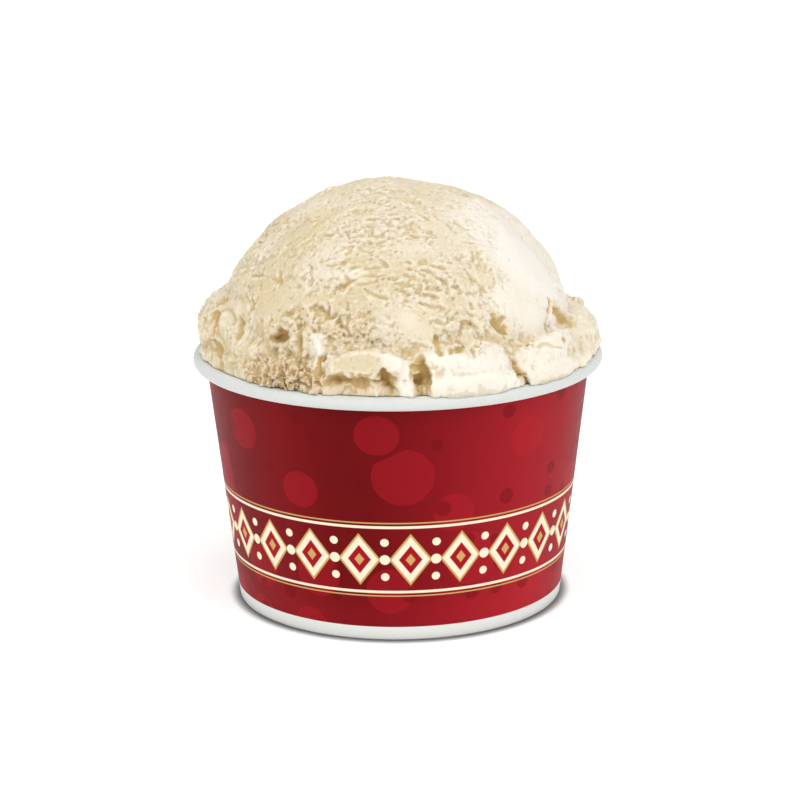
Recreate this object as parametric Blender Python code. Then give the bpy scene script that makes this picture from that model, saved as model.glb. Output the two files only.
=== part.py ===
"""A paper cup heaped with one large scoop of vanilla ice cream.

Units are metres, +Z is up and the origin is the centre of the foot ring on the table. The front of the cup
faces -Y. The cup is made as a real one is: a tapered paper wall whose top is rolled outwards into a rim and
whose foot is folded inwards round the down-turned flange of a recessed bottom disc. The ice cream fills the
cup, spills over the rim as a ragged collar of lumps, and rises from it as a dome.
"""

import math
import random

import bmesh
import bpy
from mathutils import Vector, noise

MM = 0.001

# Paper cup
RIM_RADIUS = 48.0 * MM  # outermost point of the rolled rim
CUP_HEIGHT = 59.4 * MM  # top of the rolled rim
WALL_LEAN = math.radians(6.7)  # outward lean of the wall
PAPER = 0.5 * MM  # wall thickness
DISC_PAPER = 0.4 * MM  # bottom disc thickness
GAP = 0.3 * MM  # clearance between pieces that touch
CURL_START = 1.6 * MM  # radius of the rim's roll, at the middle of the paper, where it leaves the wall
CURL_END = 1.12 * MM  # and at the free edge tucked under the rim
CURL_TURN = math.radians(320)
FLAP_HEIGHT = 5.0 * MM  # how far the folded foot reaches up inside
DISC_HEIGHT = 5.8 * MM  # middle of the bottom disc above the table
FOOT_FOLD = 0.4 * MM  # fold radius at the foot, at the middle of the paper
DISC_FOLD = 0.7 * MM  # fold radius of the disc's flange, at the middle of the paper
LAP_WIDTH = 7.0 * MM  # glued overlap of the wall's side seam
LAP_RAMP = 4.0 * MM  # stretch over which the outer layer climbs onto the inner one
LAP_EDGE = 0.12 * MM  # width of the cut paper edge at the end of the overlap
LAP_RISE = 0.35 * MM
SEAM_ANGLE = math.radians(118)  # the seam is at the back, left of the middle

# Ice cream
DOME_RADIUS = 41.8 * MM
DOME_RISE = 36.5 * MM
DOME_CENTRE = Vector((-0.5 * MM, 0.0, 62.2 * MM))
CREST_INSET = 0.34  # how far inside its greatest radius a lump is highest, as a share of its height
CRACK_RISE = 4.2 * MM  # height above the rim of the cracks between lumps
CRACK_REACH = 44.2 * MM  # radius of the collar in those cracks
FURROW_SLANT = 0.3  # how far the furrow cuts into the dome, as a share of its depth below the crest
# Lumps that show at the front: the angle from the front at which each ends, its crest's height above the
# rim, its greatest radius, how far up it that radius lies, the depth of the furrow behind its crest, and
# how far over the rim's roll it starts. Lengths are in millimetres. Angles are in degrees, positive to
# the right.
FRONT_LUMPS = (
    (-63, 14.0, 47.4, 0.45, 2.6, 62),
    (-44, 7.6, 45.2, 0.35, 0.6, 40),
    (-21, 6.4, 46.9, 0.45, 0.8, 90),
    (4, 10.2, 47.6, 0.85, 2.4, 50),
    (36, 10.8, 47.0, 0.40, 1.6, 97),
    (70, 9.6, 47.4, 0.45, 2.0, 93),
    (100, 10.4, 47.4, 0.50, 2.4, 84),
)
FRONT_START = -106  # angle from the front at which the first of them begins
BACK_LUMPS = 7
BACK_SEED = 11
BACK_WIDTH = (0.7, 1.4)  # each lump at the back draws its share of the room and its sizes from such ranges
BACK_CREST = (6.0, 13.0)
BACK_REACH = (45.6, 47.4)
BACK_BULGE = (0.35, 0.75)
BACK_FURROW = (0.6, 2.8)
BACK_CONTACT = (50, 97)
CRACK_SLIDE = math.radians(1.5)  # angle over which one lump's sizes give way to the next one's
# The surface's relief: size, seed, height on the dome, and what is added to that height on the collar
RELIEF = (
    (17.0 * MM, 3.1, 0.7 * MM, 0.0),
    (7.0 * MM, 8.7, 0.5 * MM, 1.6 * MM),
    (3.6 * MM, 15.3, 0.3 * MM, 0.9 * MM),
)
COLLAR_FADE = (75.0 * MM, 63.0 * MM)  # heights between which the collar's extra relief comes in
RIM_FADE = 3.0 * MM  # height above the rim over which all relief comes in

# Colours and roughness
PRINTED_PAPER = (0.42, 0.012, 0.02), 0.35
WHITE_PAPER = (0.85, 0.85, 0.83), 0.5
VANILLA = (0.86, 0.76, 0.56), 0.55

# Fineness
CUP_SEGMENTS = 64
ICE_SEGMENTS = 100
FOLD_STEPS = 2
CURL_STEPS = 11
DISC_RINGS = (0.35, 0.7)
CONTACT_STEPS = 4  # rings of the ice cream that follow the rim's roll
COLLAR_STEPS = 14
DOME_STEPS = 18


def add_vectors(a, b, scale=1.0):
    """Point a moved along b."""
    return (a[0] + b[0] * scale, a[1] + b[1] * scale)


def filleted(corners, radius, steps):
    """A line through the corners whose inner corners are rounded with that radius."""
    line = [corners[0]]
    for before, corner, after in zip(corners, corners[1:], corners[2:]):
        arrive = (Vector(corner) - Vector(before)).normalized()
        leave = (Vector(after) - Vector(corner)).normalized()
        turn = arrive.angle(leave)
        setback = radius * math.tan(turn / 2)
        bisector = (leave - arrive).normalized()
        centre = Vector(corner) + bisector * (radius / math.cos(turn / 2))
        start = Vector(corner) - arrive * setback - centre
        sense = 1 if arrive.x * leave.y - arrive.y * leave.x > 0 else -1
        for step in range(steps + 1):
            angle = sense * turn * step / steps
            cos, sin = math.cos(angle), math.sin(angle)
            spoke = Vector((start.x * cos - start.y * sin, start.x * sin + start.y * cos))
            line.append(tuple(centre + spoke))
    line.append(corners[-1])
    return line


def sides_of(line, thickness):
    """The left and the right face of a sheet whose middle follows the line, mitred at its corners."""
    runs = [(Vector(b) - Vector(a)).normalized() for a, b in zip(line, line[1:])]
    left, right = [], []
    for i, point in enumerate(line):
        before, after = runs[max(i - 1, 0)], runs[min(i, len(runs) - 1)]
        along = (before + after).normalized()
        reach = thickness / 2 / along.dot(after)
        left.append(add_vectors(point, (-along.y, along.x), reach))
        right.append(add_vectors(point, (-along.y, along.x), -reach))
    return left, right


def curl_radius(angle):
    """Radius of the roll at the middle of the paper, at this angle from the wall's side over the top."""
    share = (angle - WALL_LEAN) / CURL_TURN
    return CURL_START + (CURL_END - CURL_START) * share


def curl_centre():
    return (
        RIM_RADIUS - curl_radius(math.pi) - PAPER / 2,
        CUP_HEIGHT - curl_radius(math.pi / 2) - PAPER / 2,
    )


def curl_point(angle):
    radius = curl_radius(angle)
    return add_vectors(curl_centre(), (-math.cos(angle), math.sin(angle)), radius)


def wall_radius(z, inward=0.0):
    """Radius at height z of the surface that lies this far inside the middle of the wall's paper."""
    top = curl_point(WALL_LEAN)
    return top[0] + (z - top[1]) * math.tan(WALL_LEAN) - inward / math.cos(WALL_LEAN)


def wall_line():
    """Middle of the wall's paper: up the wall from the folded flap, then round the rim's roll."""
    channel = PAPER + 2 * GAP + DISC_PAPER
    floor = PAPER / 2
    corners = [
        (wall_radius(FLAP_HEIGHT, channel), FLAP_HEIGHT),
        (wall_radius(floor, channel), floor),
        (wall_radius(floor), floor),
        curl_point(WALL_LEAN),
    ]
    line = filleted(corners, FOOT_FOLD, FOLD_STEPS)
    for step in range(1, CURL_STEPS + 1):
        line.append(curl_point(WALL_LEAN + CURL_TURN * step / CURL_STEPS))
    return line


def disc_line():
    """Middle of the bottom disc's paper, from its centre out and down its flange."""
    inward = PAPER / 2 + GAP + DISC_PAPER / 2
    foot = PAPER + GAP
    edge = (wall_radius(DISC_HEIGHT, inward), DISC_HEIGHT)
    corners = [(0.0, DISC_HEIGHT), edge, (wall_radius(foot, inward), foot)]
    line = filleted(corners, DISC_FOLD, FOLD_STEPS)
    rings = [(edge[0] * share, DISC_HEIGHT) for share in DISC_RINGS]
    return [line[0], *rings, *line[1:]]


def seam_corners():
    """Corners of the side seam's section: (distance round the wall, rise of the outer layer)."""
    full = LAP_RAMP + LAP_WIDTH
    return (0.0, 0.0), (LAP_RAMP, LAP_RISE), (full, LAP_RISE), (full + LAP_EDGE, 0.0)


def cup_angles():
    """Even steps round the cup, with those at the seam replaced by its corners: (angle, rise)."""
    radius = wall_radius(CUP_HEIGHT / 2)
    seam = [(SEAM_ANGLE + arc / radius, rise) for arc, rise in seam_corners()]
    clear = math.pi / CUP_SEGMENTS
    even = [2 * math.pi * step / CUP_SEGMENTS for step in range(CUP_SEGMENTS)]
    kept = [(a, 0.0) for a in even if a < seam[0][0] - clear or a > seam[-1][0] + clear]
    return sorted(kept + seam)


def mesh_object(name, points, faces, finish):
    """A closed mesh with outward faces and its own material."""
    mesh = bpy.data.meshes.new(name)
    mesh.from_pydata(points, [], faces)
    shape = bmesh.new()
    shape.from_mesh(mesh)
    bmesh.ops.recalc_face_normals(shape, faces=shape.faces)
    bmesh.ops.triangulate(shape, faces=shape.faces)
    shape.to_mesh(mesh)
    shape.free()
    mesh.shade_smooth()
    mesh.set_sharp_from_angle(angle=math.radians(40))
    obj = bpy.data.objects.new(name, mesh)
    bpy.context.collection.objects.link(obj)
    material = bpy.data.materials.new(name)
    material.use_nodes = True
    shader = material.node_tree.nodes["Principled BSDF"]
    colour, roughness = finish
    shader.inputs["Base Color"].default_value = (*colour, 1.0)
    shader.inputs["Roughness"].default_value = roughness
    shader.inputs["Metallic"].default_value = 0.0
    mesh.materials.append(material)
    return obj


def at_angle(radius, height, angle):
    return (radius * math.cos(angle), radius * math.sin(angle), height)


def rings_joined(count_along, count_round, closed):
    """Quads between rings of points, numbered along first, with the outline itself closed if wanted."""
    faces = []
    for j in range(count_round):
        k = (j + 1) % count_round
        for i in range(count_along if closed else count_along - 1):
            n = (i + 1) % count_along
            corners = (j, i), (k, i), (k, n), (j, n)
            faces.append([turn * count_along + along for turn, along in corners])
    return faces


def build_wall():
    line = wall_line()
    left, right = sides_of(line, PAPER)
    angles = cup_angles()
    last_fold = 2 * (FOLD_STEPS + 1)  # the last of the line's points that belongs to the foot's folds
    points = []
    for angle, rise in angles:
        for i, (r, z) in enumerate(right):
            lift = rise if i in (last_fold, last_fold + 1) else 0.0
            points.append(at_angle(r + math.cos(WALL_LEAN) * lift, z - math.sin(WALL_LEAN) * lift, angle))
        points += [at_angle(r, z, angle) for r, z in reversed(left)]
    faces = rings_joined(2 * len(line), len(angles), closed=True)
    return mesh_object("cup_wall", points, faces, PRINTED_PAPER)


def with_poles(rings_per_angle, count_round, points, bottom, top):
    """Faces of rings of points closed by a point on the axis at each end, which are added last."""
    faces = rings_joined(rings_per_angle, count_round, closed=False)
    first, last = len(points), len(points) + 1
    points.extend((bottom, top))
    for j in range(count_round):
        k = (j + 1) % count_round
        faces.append((first, k * rings_per_angle, j * rings_per_angle))
        faces.append((last, (j + 1) * rings_per_angle - 1, (k + 1) * rings_per_angle - 1))
    return faces


def build_disc():
    left, right = sides_of(disc_line(), DISC_PAPER)
    outline = [*right[1:], *reversed(left[1:])]
    angles = cup_angles()
    points = [at_angle(r, z, angle) for angle, _ in angles for r, z in outline]
    lower = (0.0, 0.0, DISC_HEIGHT - DISC_PAPER / 2)
    upper = (0.0, 0.0, DISC_HEIGHT + DISC_PAPER / 2)
    faces = with_poles(len(outline), len(angles), points, lower, upper)
    return mesh_object("cup_base", points, faces, WHITE_PAPER)


def lump(start, end, crest, reach, bulge, furrow, contact):
    """A lump of the collar, from its start to its end, both in degrees from the front."""
    return {
        "start": math.radians(start),
        "end": math.radians(end),
        "crest": crest * MM,
        "reach": reach * MM,
        "bulge": bulge,
        "furrow": furrow * MM,
        "contact": math.radians(contact),
    }


def collar_lumps():
    """Every lump of the collar, in order round the cup."""
    lumps = []
    start = FRONT_START
    for end, *sizes in FRONT_LUMPS:
        lumps.append(lump(start, end, *sizes))
        start = end
    back = random.Random(BACK_SEED)
    widths = [back.uniform(*BACK_WIDTH) for _ in range(BACK_LUMPS)]
    room = FRONT_START + 360 - start
    for width in widths:
        end = start + room * width / sum(widths)
        ranges = (BACK_CREST, BACK_REACH, BACK_BULGE, BACK_FURROW, BACK_CONTACT)
        lumps.append(lump(start, end, *(back.uniform(*limits) for limits in ranges)))
        start = end
    return lumps


LUMPS = collar_lumps()


def swell(share):
    """How far a lump stands out, from 0 in the crack at its start to 1 along its middle and back to 0."""
    across = abs(2 * share - 1)
    return math.sqrt(max(0.0, 1 - across**2.4))


def blended(values, angle):
    """The value of the lump at this angle, sliding to its neighbour's at each crack."""
    total, weights = 0.0, 0.0
    for piece, value in zip(LUMPS, values):
        middle = (piece["start"] + piece["end"]) / 2
        half = (piece["end"] - piece["start"]) / 2
        off = abs((angle - middle + math.pi) % (2 * math.pi) - math.pi)
        weight = 1 / (1 + math.exp((off - half) / CRACK_SLIDE))
        total += weight * value
        weights += weight
    return total / weights


def collar_at(angle):
    """The collar here: its crest above the rim, its reach, how far up that is, its furrow and contact."""
    first = LUMPS[0]["start"]
    turned = (angle + math.pi / 2 - first) % (2 * math.pi) + first
    here = next(piece for piece in LUMPS if turned <= piece["end"])
    full = swell((turned - here["start"]) / (here["end"] - here["start"]))
    crest, reach, bulge, furrow, contact = (
        blended([piece[key] for piece in LUMPS], turned)
        for key in ("crest", "reach", "bulge", "furrow", "contact")
    )
    rise = CRACK_RISE + (crest - CRACK_RISE) * (0.35 + 0.65 * full)
    return rise, CRACK_REACH + (reach - CRACK_REACH) * full, bulge, furrow, contact


def wander(point, scale, seed):
    """Smooth noise from -1 to 1 that changes over distances of about the scale."""
    return noise.noise(Vector(point) / scale + Vector((seed, 0.0, 0.0)))


def roll_clearance(angle):
    """Point just clear of the rim's roll, at this angle from its inner side over its top."""
    away = CURL_START + PAPER / 2 + 1.5 * GAP
    return add_vectors(curl_centre(), (-math.cos(angle), math.sin(angle)), away)


def clear_of_cup(r, z):
    """The point moved, where it must be, to stay clear of the rim's roll and inside its width."""
    centre = Vector(curl_centre())
    away = Vector((r, z)) - centre
    clear = (Vector(roll_clearance(0.0)) - centre).length
    if away.length < clear:
        away = away.normalized() * clear
    return min(centre.x + away.x, RIM_RADIUS - GAP), centre.y + away.y


def through(controls, share):
    """The point this share of the way along a Catmull-Rom curve through the control points."""
    spans = len(controls) - 1
    place = min(share * spans, spans - 1e-9)
    i = int(place)
    t = place - i
    p0, p1 = controls[max(i - 1, 0)], controls[i]
    p2, p3 = controls[i + 1], controls[min(i + 2, spans)]
    return tuple(
        0.5 * (2 * b + (c - a) * t + (2 * a - 5 * b + 4 * c - d) * t**2 + (3 * b - a - 3 * c + d) * t**3)
        for a, b, c, d in zip(p0, p1, p2, p3)
    )


def dome_point(rise, angle):
    """(radius, height) on the dome at this angle above its widest ring, measured from the cup's axis."""
    shift = DOME_CENTRE.x * math.cos(angle) * math.cos(rise)
    return DOME_RADIUS * math.cos(rise) + shift, DOME_CENTRE.z + DOME_RISE * math.sin(rise)


def collar_controls(angle):
    """Control points of the collar's section at this angle, from the rim's roll out and over to the dome."""
    crest, reach, bulge, depth, contact = collar_at(angle)
    start = roll_clearance(contact)
    before = roll_clearance(contact * (CONTACT_STEPS - 1) / CONTACT_STEPS)
    top = CUP_HEIGHT + crest
    waist = (start[1] * 2 + top) / 3
    groove = max(top - depth, CUP_HEIGHT + CRACK_RISE)
    rise = math.asin((groove - DOME_CENTRE.z) / DOME_RISE)
    furrow = dome_point(rise, angle)[0] - depth * FURROW_SLANT
    return rise, (
        before,
        start,
        (start[0] + (reach - start[0]) * (1 - bulge), waist),
        (reach, CUP_HEIGHT + crest * (bulge + 0.15) / 1.15),
        (reach - crest * CREST_INSET, top),
        (furrow, groove),
    )


def ice_section(angle):
    """The ice cream's outline at this angle, from its flat bottom's edge to just below the dome's top."""
    rise, controls = collar_controls(angle)
    bottom = DISC_HEIGHT + DISC_PAPER / 2 + GAP
    inward = PAPER / 2 + 1.2 * GAP
    heights = (bottom, (bottom + CUP_HEIGHT) / 2, curl_centre()[1])
    section = [(wall_radius(z, inward), z) for z in heights]
    contact = collar_at(angle)[-1]
    section += [roll_clearance(contact * step / CONTACT_STEPS) for step in range(1, CONTACT_STEPS)]
    spans = len(controls) - 1
    for step in range(COLLAR_STEPS + 1):
        share = (1 + (spans - 1) * step / COLLAR_STEPS) / spans
        section.append(clear_of_cup(*through(controls, share)))
    for step in range(1, DOME_STEPS):
        share = step / DOME_STEPS
        section.append(dome_point(rise + (math.pi / 2 - rise) * share, angle))
    return section


def share_between(value, start, end):
    """0 at the start, 1 at the end, and held beyond them."""
    return max(0.0, min(1.0, (value - start) / (end - start)))


def relief(point):
    """How far the surface stands out at this point, more on the collar than on the dome."""
    low = share_between(point.z, *COLLAR_FADE)
    return sum(wander(point, size, seed) * (high + more * low) for size, seed, high, more in RELIEF)


def roughened(r, z, angle):
    """The section's point pushed out from the dome's centre by the relief, and kept clear of the cup."""
    place = Vector(at_angle(r, z, angle))
    outward = (place - DOME_CENTRE).normalized()
    place += outward * relief(place) * share_between(z, CUP_HEIGHT, CUP_HEIGHT + RIM_FADE)
    return at_angle(*clear_of_cup(math.hypot(place.x, place.y), place.z), angle)


def build_ice_cream():
    points = []
    hidden = 2 + CONTACT_STEPS
    for step in range(ICE_SEGMENTS):
        angle = 2 * math.pi * step / ICE_SEGMENTS
        section = ice_section(angle)
        points += [at_angle(r, z, angle) for r, z in section[:hidden]]
        points += [roughened(r, z, angle) for r, z in section[hidden:]]
    bottom = (0.0, 0.0, DISC_HEIGHT + DISC_PAPER / 2 + GAP)
    top = (DOME_CENTRE.x, 0.0, DOME_CENTRE.z + DOME_RISE)
    faces = with_poles(len(section), ICE_SEGMENTS, points, bottom, top)
    return mesh_object("ice_cream", points, faces, VANILLA)


def main():
    for obj in list(bpy.data.objects):
        bpy.data.objects.remove(obj)
    build_wall()
    build_disc()
    build_ice_cream()


main()
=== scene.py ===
"""The looks of a paper cup heaped with one large scoop of vanilla ice cream.

Everything is in metres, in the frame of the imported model: +Z is up and the front of the cup faces -Y.
The cup's paper and the ice cream are remade finely in place of their plain solids. The print on the wall is
worked out by the material from the angle round the cup and the height.
"""

import math
import random

import bmesh
import bpy
import numpy as np
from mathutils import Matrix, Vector, noise


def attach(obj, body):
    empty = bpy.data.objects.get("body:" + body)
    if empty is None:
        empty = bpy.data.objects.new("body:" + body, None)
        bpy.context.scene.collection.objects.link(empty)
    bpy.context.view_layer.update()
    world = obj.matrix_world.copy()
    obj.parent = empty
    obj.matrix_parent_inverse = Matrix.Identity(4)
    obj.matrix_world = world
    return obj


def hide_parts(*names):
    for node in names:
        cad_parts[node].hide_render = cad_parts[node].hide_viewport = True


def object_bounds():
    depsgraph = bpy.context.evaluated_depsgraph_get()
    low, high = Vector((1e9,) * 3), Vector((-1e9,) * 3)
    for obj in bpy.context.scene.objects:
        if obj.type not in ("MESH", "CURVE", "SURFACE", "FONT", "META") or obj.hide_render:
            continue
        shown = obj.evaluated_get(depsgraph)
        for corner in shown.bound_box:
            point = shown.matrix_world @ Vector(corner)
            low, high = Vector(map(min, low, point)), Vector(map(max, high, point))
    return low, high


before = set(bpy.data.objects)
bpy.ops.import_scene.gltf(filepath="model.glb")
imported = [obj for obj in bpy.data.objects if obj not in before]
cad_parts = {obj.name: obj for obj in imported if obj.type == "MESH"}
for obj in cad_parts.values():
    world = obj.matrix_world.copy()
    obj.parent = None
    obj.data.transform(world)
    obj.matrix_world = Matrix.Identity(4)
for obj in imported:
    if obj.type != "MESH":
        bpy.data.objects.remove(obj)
CAD_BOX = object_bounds()

MM = 0.001

# Paper cup, as in the solids
RIM_RADIUS = 48.0 * MM
CUP_HEIGHT = 59.4 * MM
WALL_LEAN = math.radians(6.7)
PAPER = 0.5 * MM
DISC_PAPER = 0.4 * MM
GAP = 0.3 * MM
CURL_START = 1.6 * MM
CURL_END = 1.12 * MM
CURL_TURN = math.radians(320)
FLAP_HEIGHT = 5.0 * MM
DISC_HEIGHT = 5.8 * MM
FOOT_FOLD = 0.4 * MM
DISC_FOLD = 0.7 * MM
LAP_WIDTH = 7.0 * MM
LAP_RAMP = 4.0 * MM
LAP_EDGE = 0.12 * MM
LAP_RISE = 0.35 * MM
SEAM_ANGLE = math.radians(118)

# Fineness of the cup
CUP_SEGMENTS = 360
FOLD_STEPS = 8
CURL_STEPS = 44
DISC_RINGS = (0.25, 0.5, 0.75)

# Camera, fitted to the edges of the cup in the photo
CAMERA_DISTANCE = 0.643
CAMERA_ELEVATION = math.radians(14.985)
CAMERA_ROLL = math.radians(-0.568)
CAMERA_AIM = Vector((0.406 * MM, 0.0, 46.3 * MM))
FOCAL_PIXELS = 2722.0
FRAME_PIXELS = 800.0
SENSOR = 36.0

# Print on the wall. A spot's row is the size of its cells, its least and largest radius, and its seed.
PRINT_BOTTOM = 3.4 * MM
PRINT_TOP = 56.6 * MM
BAND_CENTRE = 20.0 * MM
BAND_RADIUS = 40.4 * MM
LOZENGES = 22
LOZENGE_HALF = (4.3 * MM, 5.6 * MM)
STRIPE_OFFSET = 7.9 * MM
STRIPE_HALF = 0.32 * MM
DOT_RADIUS = 0.95 * MM
DOT_LIFT = 4.2 * MM
BIG_DOT = 1.25
THIN_LINE_OFFSET = 1.0 * MM
PRINT_BLUR = 0.06 * MM
LINE_BLUR = 0.05 * MM
LOZENGE_BLUR = 0.03
BIG_SPOTS = (17.0 * MM, (2.5 * MM, 7.0 * MM), 3.3)
SMALL_SPOTS = (7.5 * MM, (0.5 * MM, 1.9 * MM), 8.1)
LOZENGE_SIZES = (1.13, 1.0, 0.62, 0.26)
OUTER_FACE = (-0.05 * MM, 0.05 * MM)
ROLL_SIDE = (1.2 * MM, 1.0 * MM)
RAW_EDGE = 1.2 * LAP_EDGE

# Painted light and shade on the red, where it is lighter and darker round the cup and by how much: lighter
# towards the lit right, in three waves round the cup and near the foot from the floor's light, darker at
# the left.
PAINTED_DARK_TURN, TONE_WAVES, WAVE_TONE = math.radians(-102), 3.0, 0.26
PAINTED_LIGHT_TURN, PAINTED_LIGHT_TONE, MEAN_TONE = math.radians(-40), 0.18, 0.22
PAINTED_FOOT_LIGHT, PAINTED_FOOT_TONE = (16 * MM, 4 * MM), 0.22
PAINTED_SHADE_STARTS = (math.radians(-126), math.radians(-148))
PAINTED_SHADE_ENDS = (math.radians(-180), math.radians(-165))
PAINTED_SHADE_TONE = 0.24

# Inks and papers, in the 0 to 255 values of a screen
REDS = ((97, 4, 7), (107, 6, 10))
PAINTED_LIGHT_RED = (176, 30, 42)
LIGHT_SPOT = (158, 18, 30)
DARK_SPOT = (104, 3, 8)
GOLD = (200, 160, 98)
CREAM = (240, 228, 200)
DEEP_RED = (158, 16, 26)
# The wall's paper: a lighter white on the foot band as painted light, a darker white above it as painted
# shade, and its speckle
WALL_PAPERS = ((228, 230, 225), (205, 208, 204), (224, 226, 223))
BASE_PAPERS = ((226, 226, 221), (238, 238, 235))

# Colours of the ice cream, in the same values
PLAIN_CREAM = (215, 199, 164)
WHITE_CREAM = (238, 232, 222)
# Ochre: painted shade under the lobe, in the grainy lump and in the hollows, and in a few patches the
# cream's own ochre
OCHRE_CREAM_AND_SHADE = (200, 163, 106)
YELLOW_PATCH = (220, 200, 154)
# Painted shade in the fine pits of the relief, and a painted highlight on its raised grain
PAINTED_PIT_SHADE = (198, 172, 120)
PAINTED_GRAIN_HIGHLIGHT = (244, 236, 220)
DARK_PIT = (182, 160, 122)
FROST = (248, 240, 226)
# Painted shade in the hollows, and darker deeper down in them
HOLLOW_SHADE = (212, 187, 124)
DEEP_SHADE = (168, 128, 70)
SMOOTH_BELOW = (0.75, 0.15)

# Floor, and the lights: name, azimuth and elevation in degrees, brightness, and width in degrees
FLOOR_HALF = 4.0
# Reach and colour of the floor's painted contact shadow
FLOOR_REACH = 4.2 * MM
FLOOR_PAINTED_SHADOW = (0.2, 0.2, 0.2, 1.0)
FLOOR_PALE = (0.94, 0.94, 0.94, 1.0)
FLOOR_GLOW = 0.24
WHITE = (1.0, 1.0, 1.0, 1.0)
SKY_BRIGHTNESS = 0.5
LIGHTS = (
    ("top", 16, 64, 0.44, 70),
    ("right", 50, 38, 0.16, 40),
    ("left", -60, 34, 0.18, 40),
    ("back", 180, 42, 0.10, 60),
)

# Ice cream
DOME_CENTRE = Vector((-0.5 * MM, 0.0, 62.2 * MM))
FORM_VOXEL = 0.92 * MM
FORM_SMOOTHING = 7
WELDED_WITHIN = 0.001 * MM
HIDDEN_BELOW = 56.8 * MM
RIM_TOUCH = 0.04 * MM
PRESSED_BY = 1.6 * GAP
PRESSED_WITHIN = (1.6 * MM, 0.8 * MM)
SHIFTED_WITHIN = (4.5 * MM, 0.5 * MM)
TOP = CAD_BOX[1][2]
TINY = 1e-12

# Noises over the ice cream: the distance over which each changes, and its seed
AREAS, FINER_AREAS = (11 * MM, 5.0), (5 * MM, 7.0)
WHITER = (14 * MM, 9.0)
LUMPS, DENTS = (4.6 * MM, 29.0), (2.4 * MM, 30.0)
GRAIN, FINE_GRAIN = (1.3 * MM, 31.0), (0.75 * MM, 37.0)
STREAKS, CUTS, RIPS = (1.0, 17.0), (1.0, 19.0), (1.0, 21.0)
CUT_AREAS, RIP_AREAS, RIP_GRAIN = (6.5 * MM, 23.0), (5.0 * MM, 35.0), (0.8 * MM, 33.0)
RAGGED, FINER_RAGGED = (2.3 * MM, 41.0), (1.0 * MM, 43.0)
CRUMBLED = (8 * MM, 47.0)
CONTACT, FINER_CONTACT = (4.2 * MM, 51.0), (1.6 * MM, 53.0)
CREASES, FINER_CREASES = (5.4 * MM, 61.0), (2.6 * MM, 63.0)
SEED_DIRECTION = np.array((1.0, 0.37, -1.0))
CLUMP_DIRECTION = np.array((1.0, -1.0, 0.61))

# How every line wavers: scale and reach of its bends, and their seeds
LINE_BENDS = ((3.4 * MM, 1.1 * MM), (1.4 * MM, 0.45 * MM))
LINE_SEEDS = (67.0, 71.0, 73.0)
LINE_REACH = 1.3

# Slope, taper and roughness of each kind of line
HOLLOW_EDGE = (1.25, 0.45, 0.9)
RIDGE_EDGE = (1.25, 0.45, 0.4)
TEAR_EDGE = (1.2, 0.5, 1.2)

# The scoop's drag: its scale across and along the circles, into the dome, and how far and where it bends
DRAG_ACROSS = 1.3 * MM
DRAG_ALONG = 0.2
DRAG_INWARD = 4 * MM
DRAG_BEND = 0.6
DRAG_BEND_SCALE = 4 * MM
DRAG_SEEDS = (11.0, 12.0, 13.0)
RIP_FINENESS = np.array((1.4, 2.0, 1.5))
CUT_FINENESS = np.array((0.55, 0.8, 1.0))

# Relief in millimetres
LUMP_HEIGHT = 0.34
DENT_HEIGHT = 0.30
GRAIN_HEIGHT = 0.05
FINE_HEIGHT = 0.10
STREAK_HEIGHT = 0.09
PIT_DEPTH = 0.56
CUT_DEPTH = 0.45
FOLD_HEIGHT = 1.9
FOLD_SINK = 0.75

# Clumps: scale, seed and warp, then height, depth of the cracks and half their width
CLUMPS = (
    ((1.7 * MM, 3.0, 0.8), 0.16, 0.22, 0.30),
    ((1.0 * MM, 6.0, 0.6), 0.08, 0.12, 0.34),
)
CLUMP_SHUFFLE = 7.3
CLUMP_WARP_FINENESS = 1.7
CLUMP_WARP_SEED = 5

# Ranges of the tears and cracks round the back: degrees, millimetres, and millimetres a degree for slopes
BACK_TEARS = 70
TEAR_SEED = 4
TEAR_ANGLES, TEAR_HEIGHTS = (62, 298), (71, 97)
TEAR_LENGTHS, TEAR_SLOPES = (3, 9), (-1 / 6, 1 / 6)
TEAR_HALVES, TEAR_DEPTHS = (0.4, 0.75), (0.5, 1.2)
BACK_LUMPS = 11
CRACK_SEED = 6
CRACK_ANGLES, CRACK_LEANS, CRACK_SHARES = (84, 276), (-5, 5), (0.2, 0.8)
CRACK_TOPS, CRACK_BOTTOM = (66, 70), 57.5
CRACK_HALVES, CRACK_DEPTHS = (0.9, 1.9), (1.2, 2.6)
POCKET_SHIFTS, POCKET_LENGTHS = (-9, 9), (3, 9)
POCKET_STARTS, POCKET_ENDS = (69, 73), (68, 72)
POCKET_DEPTH = 0.7

COLLAR_FOLDS = 0.75
COLLAR_FADE = (75 * MM, 69 * MM)
ROUTE_STEPS = 3
NEAREST_MARGIN = 1.5
CLOSE_BY = 0.7 * MM


# Cup geometry


def moved(a, b, scale=1.0):
    """Point a moved along b."""
    return (a[0] + b[0] * scale, a[1] + b[1] * scale)


def filleted(corners, radius, steps):
    """A line through the corners whose inner corners are rounded with that radius."""
    line = [corners[0]]
    for before, corner, after in zip(corners, corners[1:], corners[2:]):
        arrive = (Vector(corner) - Vector(before)).normalized()
        leave = (Vector(after) - Vector(corner)).normalized()
        turn = arrive.angle(leave)
        centre = Vector(corner) + (leave - arrive).normalized() * (radius / math.cos(turn / 2))
        start = Vector(corner) - arrive * radius * math.tan(turn / 2) - centre
        sense = 1 if arrive.x * leave.y - arrive.y * leave.x > 0 else -1
        for step in range(steps + 1):
            angle = sense * turn * step / steps
            cos, sin = math.cos(angle), math.sin(angle)
            turned = (start.x * cos - start.y * sin, start.x * sin + start.y * cos)
            line.append(tuple(centre + Vector(turned)))
    line.append(corners[-1])
    return line


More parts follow.
